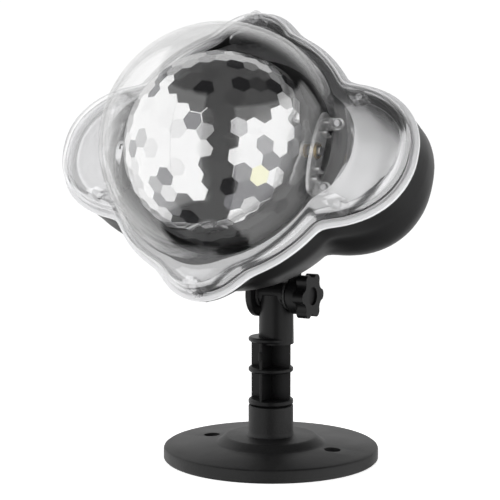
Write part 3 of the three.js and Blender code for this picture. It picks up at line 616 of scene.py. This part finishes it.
def inner_tray():
    radius, wall, face = 51, 1.4, -7

    def bowl(r, n):
        return math.sqrt(r**2 - n**2), n

    depths = [face - i * (TRAY_DEPTH + face) / TRAY_STEPS for i in range(TRAY_STEPS + 1)]
    inside = [bowl(radius, n) for n in depths]
    outside = [bowl(radius + wall, min(n - 1, face - 1.6)) for n in depths[::-1]]
    profile = [(61.6, face - 1.6), (61.6, face), *inside, *outside]
    tray = make("inner_tray_bowl", lathe(profile, 128, close=True), LAMP)
    boolean(tray, make("window", prism(rounded_box(*WINDOW, 6), -60, -20), LAMP), "DIFFERENCE")
    boolean(tray, make("motor_room", block((-64, -13, -12), (-55.6, 13, 0)), LAMP), "DIFFERENCE")
    edged(tray, 0.3)
    settle(tray, "head", INNER, "inner_plastic", "inner_tray")


def reflector_tub():
    def level(half_width, half_height, corner, n):
        return [(x, u, n) for x, u in rounded_box(half_width, half_height, corner, 8)]

    tub = make("reflector_tub_walls", rings([
        level(22, 34, 6, -49.2), level(12, 15, 4, -56.4), level(11, 14, 3.5, -56.4),
        level(11, 14, 3.5, -55.4), level(21, 33, 5.5, -48.2), level(22, 34, 6, -48.2),
    ], close=True), LAMP)
    settle(tub, "head", REFLECTOR, "silver_coat", "reflector_tub")


# ---- faceted ball ----
def geodesic(frequency):
    """Points and triangles of a sphere split from an icosahedron, a corner on the x axis."""
    golden = (1 + 5**0.5) / 2
    base = [Vector(p).normalized() for p in (
        (-1, golden, 0), (1, golden, 0), (-1, -golden, 0), (1, -golden, 0),
        (0, -1, golden), (0, 1, golden), (0, -1, -golden), (0, 1, -golden),
        (golden, 0, -1), (golden, 0, 1), (-golden, 0, -1), (-golden, 0, 1))]
    turn = base[0].rotation_difference(Vector((1, 0, 0)))
    base = [turn @ p for p in base]
    near = min((base[0] - p).length for p in base[1:]) * 1.1
    triples = [
        (a, b, c) for a in range(12) for b in range(a + 1, 12) for c in range(b + 1, 12)
        if max((base[a] - base[b]).length, (base[b] - base[c]).length, (base[a] - base[c]).length) < near
    ]
    points, index, triangles = [], {}, []

    def number(a, b, c, i, j):
        point = (base[a] * (frequency - i - j) + base[b] * i + base[c] * j).normalized()
        key = tuple(round(v, 5) + 0.0 for v in point)
        if key not in index:
            index[key] = len(points)
            points.append(point)
        return index[key]

    for a, b, c in triples:
        for i in range(frequency):
            for j in range(frequency - i):
                triangles.append((
                    number(a, b, c, i, j), number(a, b, c, i + 1, j), number(a, b, c, i, j + 1)))
                if i + j < frequency - 1:
                    triangles.append((
                        number(a, b, c, i + 1, j), number(a, b, c, i + 1, j + 1), number(a, b, c, i, j + 1)))
    return points, triangles


def facet_shell(radius):
    """Flat facets of a sphere, one for each geodesic point, each a little out of true."""
    points, triangles = geodesic(FACET_FREQUENCY)
    random = np.random.default_rng(FACET_SEED)
    points = [(p + Vector(random.normal(0, FACET_TILT, 3))).normalized() for p in points]
    corners = []
    around = {i: [] for i in range(len(points))}
    for k, triangle in enumerate(triangles):
        planes = np.array([points[i][:] for i in triangle])
        corners.append(tuple(np.linalg.solve(planes, np.full(3, radius))))
        for i in triangle:
            around[i].append(k)
    faces = []
    for i, ring in around.items():
        up = points[i]
        first = up.orthogonal().normalized()
        second = up.cross(first)
        ring.sort(key=lambda k: math.atan2(Vector(corners[k]).dot(second), Vector(corners[k]).dot(first)))
        faces.append(tuple(ring))
    return corners, faces


def facet_tones(corners, faces):
    """A tone for each facet: mostly bright, with greys that gather in patches, painted shade round the facet where
    the LED shows through, and that facet's painted LED tone.
    """
    random = np.random.default_rng(TONE_SEED)
    middles = np.array([np.mean([corners[i] for i in face], axis=0) for face in faces])
    middles /= np.linalg.norm(middles, axis=1)[:, None]
    waves = random.normal(0, 3.2, (5, 3))
    patch = np.cos(middles @ waves.T + random.uniform(0, 6.28, 5)).mean(1)
    near_painted_led = middles @ (np.array(PAINTED_LED_FACET) / np.linalg.norm(PAINTED_LED_FACET))
    # painted shade: the facets round the painted LED facet are darker
    shaded = np.clip((near_painted_led - 0.86) / 0.1, 0, 1)
    tones = np.clip(0.76 + 0.75 * patch - 0.42 * shaded + random.normal(0, 0.3, len(faces)), 0, 1)
    # painted LED: the facet nearest that way gets the tone of the warm tint
    tones[np.argmax(near_painted_led)] = PAINTED_LED_TONE
    return tones


def ball_half(side):
    """One half of the ball: faceted outside, round inside, with a rim at the joint."""
    outer_corners, outer_faces = facet_shell(BALL_RADIUS)
    name = "right" if side > 0 else "left"
    half = bmesh.new()
    outer = [half.verts.new(Vector(c)) for c in outer_corners]
    tone = half.faces.layers.float.new("facet_tone")
    for face, value in zip(outer_faces, facet_tones(outer_corners, outer_faces)):
        half.faces.new([outer[i] for i in face])[tone] = value
    bmesh.ops.recalc_face_normals(half, faces=half.faces)
    bevelled = bmesh.ops.bevel(half, geom=half.edges[:], offset=FACET_EDGE_WIDTH, segments=1, profile=0.5,
                               affect="EDGES", clamp_overlap=True)
    # the bevel strips carry the painted highlight on the facet edges
    highlight_strips = set(bevelled["faces"])
    inner = bmesh.ops.create_icosphere(half, subdivisions=5, radius=BALL_RADIUS - BALL_WALL)["verts"]
    inner_faces = {face for vert in inner for face in vert.link_faces}
    bmesh.ops.reverse_faces(half, faces=list(inner_faces))
    for face in half.faces:
        face.smooth = face in inner_faces
        face.material_index = 1 if face in inner_faces else (2 if face in highlight_strips else 0)
    edge = 0.04 * side
    bmesh.ops.bisect_plane(
        half, geom=half.verts[:] + half.edges[:] + half.faces[:], plane_co=(edge, 0, 0),
        plane_no=(side, 0, 0), clear_inner=True, dist=0.0001)
    rim = [e for e in half.edges if e.is_boundary]
    for face in bmesh.ops.bridge_loops(half, edges=rim)["faces"]:
        face.material_index = 1
    mesh = bpy.data.meshes.new(f"ball_facets_{name}")
    half.to_mesh(mesh)
    half.free()
    mesh.transform(LAMP @ Matrix.Translation((BALL_X, 0, 0)))
    obj = bpy.data.objects.new(f"ball_facets_{name}", mesh)
    bpy.context.scene.collection.objects.link(obj)
    settle(obj, "ball", FACETED, "ball_facets", f"ball_half_{name}")
    obj.data.materials.append(BALL_INSIDE)
    obj.data.materials.append(FACET_EDGE_HIGHLIGHT)


# ---- foot ----
FOOT_HOLE_AT = 35


def foot():
    profile = [
        (0, 0), (54.2, 0), (55, 0.8), (55, 5.4), (54.7, 6.2), (53.8, 6.8), (28.6, 8.0), (27.6, 8.3),
        (26.8, 8.9), (24.2, 10.9), (23.4, 11.4), (22.6, 11.6), (13.6, 11.6), (12.4, 11.9), (11.9, 12.6),
        (11.5, 14), (11.5, 27), (11.1, 27.4), (9.8, 27.4), (9.8, 7), (0, 7),
    ]
    disc = make("foot_plate", lathe(profile, 128), WORLD)
    hole = lathe([(0, -1), (2.6, -1), (2.6, 4.4), (4.1, 5.9), (4.3, 9), (0, 9)], 40)
    holes = joined(*[moved(hole, side * FOOT_HOLE_AT) for side in (-1, 1)])
    boolean(disc, make("holes", holes, WORLD), "DIFFERENCE")
    edged(disc, 0.25)
    settle(disc, "foot", GRAINED, "black_plastic", "foot_disc")


# ---- mast ----
def mast():
    def disc(low, high):
        edge = [(10.8, low), (11.5, low + 0.7), (11.5, high - 0.7), (10.8, high)]
        return lathe([(0, low), *edge, (0, high)], 96)

    fins = [prism([(-11.1, -0.7), (11.1, -0.7), (11.1, 0.7), (-11.1, 0.7)], 28, 61),
            prism([(-0.7, -11.1), (0.7, -11.1), (0.7, 11.1), (-0.7, 11.1)], 28, 61)]
    plug = lathe([(0, 7.3), (8.2, 7.3), (9.4, 9), (9.4, 29), (0, 29)], 64)
    neck = moved(lathe([(0, 59.3), (8.8, 59.3), (9.0, 59.7), (8.6, 84.6), (0, 84.6)], 96), 3.05)
    catch = block((-0.7, -12.3, 51.4), (0.7, -10.7, 55.8))
    for name, shape, width in (
        ("mast_plug", plug, 0.3),
        ("mast_disc_low", disc(27.7, 30.8), 0.2),
        ("mast_disc_mid", disc(44.6, 47.2), 0.2),
        ("mast_disc_top", disc(60.2, 62.7), 0.2),
        ("mast_fin_x", fins[0], 0.25),
        ("mast_fin_y", fins[1], 0.25),
        ("mast_catch", catch, 0.3),
    ):
        settle(edged(make(name, shape, WORLD), width), "mast", BLACK, "black_plastic")
    body = make("mast_neck", neck, WORLD)
    crown = lathe(rod(7.4, -6.6, 6.6), 64, "x")
    boolean(body, make("crown", crown, HINGE_FRAME), "UNION")
    for low, radius in ((-18.6, 12.5), (6.6, 8.1)):
        cutter = lathe(rod(radius, low, low + 12), 64, "x")
        boolean(body, make("spot_face", cutter, HINGE_FRAME), "DIFFERENCE")
    boolean(body, make("bolt_bore", lathe(rod(BOLT_HOLE, -20, 20), 32, "x"), HINGE_FRAME), "DIFFERENCE")
    edged(body, 0.3)
    settle(body, "mast", BLACK, "black_plastic", "mast_post")


# ---- knob ----
KNOB_FACE = 10.5
KNOB_RADIUS = 10.5
KNOB_LOBES = 6
KNOB_LOBE_RISE = 1.5


def knob():
    outline = []
    for i in range(144):
        angle = 2 * math.pi * i / 144
        wave = math.cos(KNOB_LOBES * angle)
        r = KNOB_RADIUS + KNOB_LOBE_RISE * math.copysign(abs(wave) ** 0.6, wave)
        outline.append((r * math.cos(angle), r * math.sin(angle)))
    star = make("knob_star", prism(outline, KNOB_FACE + 4.7, KNOB_FACE + 10.3, "x"), HINGE_FRAME)
    for name, radius, start, end, steps, operation in (
        ("stage", 9.6, 0, 5, 64, "UNION"),
        ("bore", 4.2, -1, 8.6, 32, "DIFFERENCE"),
        ("dish", 4.6, 9.1, 12, 48, "DIFFERENCE"),
    ):
        tool = lathe(rod(radius, KNOB_FACE + start, KNOB_FACE + end), steps, "x")
        boolean(star, make(name, tool, HINGE_FRAME), operation)
    edged(star, 0.6, 3)
    settle(star, "knob", BLACK, "black_plastic", "star_knob")


# ---- ball brackets ----
TAB_SCREWS = 16
FOOT_LEVEL = -6.7
TAB_TOP = FOOT_LEVEL + 1.6
BRACKET_WALL = 1.8
SLOT_U, SLOT_N = 9, -1.6
RIB_PLACES = (-14, -9, 9, 14)


def side_slab(outline, low, high):
    """An outline of (u, n) carried across from x = low to x = high."""
    return prism(outline, low, high, "x")


def slot_outline(cx, cy, half, radius):
    """A slot with round ends, long in its first direction."""
    return arc(cx + half, cy, radius, -90, 90, 10) + arc(cx - half, cy, radius, 90, 270, 10)


def bracket_plate(half):
    """The bracket seen from the side: a low wall with a rounded crown."""
    crown = [(half * math.cos(t), -1.5 + 6.4 * math.sin(t)) for t in np.linspace(0, math.pi, 28)]
    return [(-half, FOOT_LEVEL), (half, FOOT_LEVEL), *crown]


def motor_bracket():
    low = -55.6
    plate = make("motor_bracket_plate", side_slab(bracket_plate(19.5), low, low + BRACKET_WALL), LAMP)
    outlines = [slot_outline(u, SLOT_N, 0.2, 2.8) for u in (-SLOT_U, SLOT_U)]
    outlines.append(arc(0, 0, 2.3, 0, 345, 23))
    slots = joined(*[side_slab(outline, low - 1, low + 3) for outline in outlines])
    boolean(plate, make("slots", slots, LAMP), "DIFFERENCE")
    settle(edged(plate, 0.35), "head", INNER, "inner_plastic", "motor_bracket")
    for name, end in (("low", -1), ("high", 1)):
        tab = [(x, end * TAB_SCREWS + u) for x, u in
               [(low + 0.9, -2.8), (-51.4, -2.8), *arc(-51.4, 0, 2.8, -80, 80, 10), (low + 0.9, 2.8)]]
        foot_tab = make(f"motor_bracket_foot_{name}", prism(tab, FOOT_LEVEL, TAB_TOP), LAMP)
        settle(edged(foot_tab, 0.3), "head", INNER, "inner_plastic")


def idler_bracket():
    low = 45.8
    plate = make("idler_bracket_plate", side_slab(bracket_plate(20), low, low + BRACKET_WALL), LAMP)
    bore = side_slab(arc(0, 0, 3.9, 0, 352, 44), low - 1, low + 3)
    boolean(plate, make("bush_bore", bore, LAMP), "DIFFERENCE")
    settle(edged(plate, 0.4), "head", BRACKET_CLEAR_HIGHLIGHT, "clear_plastic", "idler_bracket")
    rib_foot = FOOT_LEVEL + 2.2
    for i, u in enumerate(RIB_PLACES):
        outline = [(u - 0.6, rib_foot), (u + 0.6, rib_foot), (u + 0.5, 1), (u - 0.5, 1)]
        slab = side_slab(outline, low + BRACKET_WALL, low + 5)
        rib = make(f"idler_bracket_rib_{i + 1}", slab, LAMP)
        settle(edged(rib, 0.2), "head", BRACKET_CLEAR_HIGHLIGHT, "clear_plastic")
    for name, end in (("low", -1), ("high", 1)):
        tab = [(low + 0.9, end * TAB_SCREWS - 3.2), (52.2, end * TAB_SCREWS - 3.2),
               *arc(52.2, end * TAB_SCREWS, 3.2, -80, 80, 10), (low + 0.9, end * TAB_SCREWS + 3.2)]
        foot_tab = make(f"idler_bracket_foot_{name}", prism(tab, FOOT_LEVEL, TAB_TOP), LAMP)
        settle(edged(foot_tab, 0.3), "head", BRACKET_CLEAR_HIGHLIGHT, "clear_plastic")


rear_housing()
front_cover()
gasket()
motor_bracket()
idler_bracket()
lobe_panel("silver_panel_right", 0, 24, 7.2, "side_panel_right")
lobe_panel("silver_panel_left", 180, 24, 7.2, "side_panel_left")
lobe_panel("silver_panel_top", 90, 14, 7.4, "end_panel_top")
lobe_panel("silver_panel_bottom", 270, 14, 7.4, "end_panel_bottom")
inner_tray()
reflector_tub()
ball_half(1)
ball_half(-1)
foot()
mast()
knob()


# ---- stage ----
FLOOR_RADIUS = 0.55


def floor():
    """A sheet of white paper under the foot, kept out of the reflections."""
    mesh = bpy.data.meshes.new("floor")
    work = bmesh.new()
    bmesh.ops.create_circle(work, cap_ends=True, segments=96, radius=FLOOR_RADIUS)
    work.to_mesh(mesh)
    work.free()
    obj = bpy.data.objects.new("floor", mesh)
    bpy.context.scene.collection.objects.link(obj)
    material, shader = new_material("floor_paper")
    grain = noise_of(material, 300)
    material.node_tree.links.new(ramp_of(material, grain, (0.9, 0.9, 0.9), (0.94, 0.94, 0.94)),
                                 shader.inputs["Base Color"])
    shader.inputs["Roughness"].default_value = 0.9
    shader.inputs["Emission Color"].default_value = (1, 1, 1, 1)
    shader.inputs["Emission Strength"].default_value = 0.75
    mesh.materials.append(material)
    obj.visible_glossy = False


def softbox(name, place, aim, width, height, power):
    """An area light that neither the camera nor a reflection sees."""
    light = bpy.data.lights.new(name, "AREA")
    light.shape = "RECTANGLE"
    light.size, light.size_y, light.energy = width, height, power
    obj = bpy.data.objects.new(name, light)
    bpy.context.scene.collection.objects.link(obj)
    obj.location = place
    obj.rotation_euler = (Vector(aim) - Vector(place)).to_track_quat("-Z", "Y").to_euler()
    obj.visible_camera = False
    obj.visible_glossy = False


# The room's bright panels: (low and high bearing, low and high elevation, brightness), in degrees.
# Bearing 0 is in front of the lamp and 90 is to its right.
PANELS = [((-118, 13), (-52, 51), 1.35), ((41, 146), (-80, 38), 1.35)]
BACKDROP_BEARING = 210
BACKDROP_START, BACKDROP_END = 0.45, 0.8  # how far behind, as a share of straight behind
BACKDROP_LIGHT = 0.9
ROOM_LIGHT = 0.03
PAPER_LIGHT = 1.05
PANEL_SOFTNESS = 4


def studio_world():
    """White paper behind what is seen, and a dark room with bright panels for what is mirrored."""
    world = bpy.data.worlds.new("studio")
    world.use_nodes = True
    bpy.context.scene.world = world
    tree = world.node_tree
    tree.nodes.clear()

    def maths(operation, a, b=None):
        node = tree.nodes.new("ShaderNodeMath")
        node.operation = operation
        for socket, value in zip(node.inputs, (a, b)):
            if isinstance(value, (int, float)):
                socket.default_value = value
            elif value is not None:
                tree.links.new(value, socket)
        return node.outputs[0]

    def step(value, start, end):
        node = tree.nodes.new("ShaderNodeMapRange")
        node.interpolation_type = "SMOOTHSTEP"
        node.inputs["From Min"].default_value = start
        node.inputs["From Max"].default_value = end
        tree.links.new(value, node.inputs["Value"])
        return node.outputs["Result"]

    def between(value, low, high):
        rise = step(value, low, low + PANEL_SOFTNESS)
        fall = maths("SUBTRACT", 1.0, step(value, high - PANEL_SOFTNESS, high))
        return maths("MULTIPLY", rise, fall)

    place = tree.nodes.new("ShaderNodeTexCoord")
    split = tree.nodes.new("ShaderNodeSeparateXYZ")
    tree.links.new(place.outputs["Generated"], split.inputs[0])
    x, y, z = split.outputs
    bearing = maths("DEGREES", maths("ARCTAN2", x, maths("MULTIPLY", y, -1.0)))
    elevation = maths("DEGREES", maths("ARCSINE", z))
    light = None
    for (left, right), (bottom, top), brightness in PANELS:
        panel = maths("MULTIPLY", between(bearing, left, right), between(elevation, bottom, top))
        panel = maths("MULTIPLY", panel, brightness)
        light = panel if light is None else maths("ADD", light, panel)
    turn = math.radians(BACKDROP_BEARING)
    behind = maths("ADD", maths("MULTIPLY", x, math.sin(turn)), maths("MULTIPLY", y, -math.cos(turn)))
    backdrop = step(behind, BACKDROP_START, BACKDROP_END)
    light = maths("MAXIMUM", light, maths("MULTIPLY", backdrop, BACKDROP_LIGHT))
    light = maths("ADD", light, ROOM_LIGHT)

    room = tree.nodes.new("ShaderNodeBackground")
    paper = tree.nodes.new("ShaderNodeBackground")
    for background in (room, paper):
        background.inputs["Color"].default_value = (1, 1, 1, 1)
    tree.links.new(light, room.inputs["Strength"])
    paper.inputs["Strength"].default_value = PAPER_LIGHT
    path = tree.nodes.new("ShaderNodeLightPath")
    mix = tree.nodes.new("ShaderNodeMixShader")
    output = tree.nodes.new("ShaderNodeOutputWorld")
    tree.links.new(path.outputs["Is Camera Ray"], mix.inputs[0])
    tree.links.new(room.outputs[0], mix.inputs[1])
    tree.links.new(paper.outputs[0], mix.inputs[2])
    tree.links.new(mix.outputs[0], output.inputs[0])


def camera():
    data = bpy.data.cameras.new("camera")
    data.lens = 102.64
    data.sensor_width = 36
    obj = bpy.data.objects.new("camera", data)
    bpy.context.scene.collection.objects.link(obj)
    obj.location = (0.33802, -0.63572, 0.177)
    obj.rotation_euler = (math.radians(84.43), 0, math.radians(28.852))
    bpy.context.scene.camera = obj


floor()
studio_world()
bpy.context.scene.view_settings.view_transform = "Standard"
softbox("top_softbox", (0.1, 0.2, 1.3), (0, 0, 0.1), 0.9, 0.7, 3)
camera()
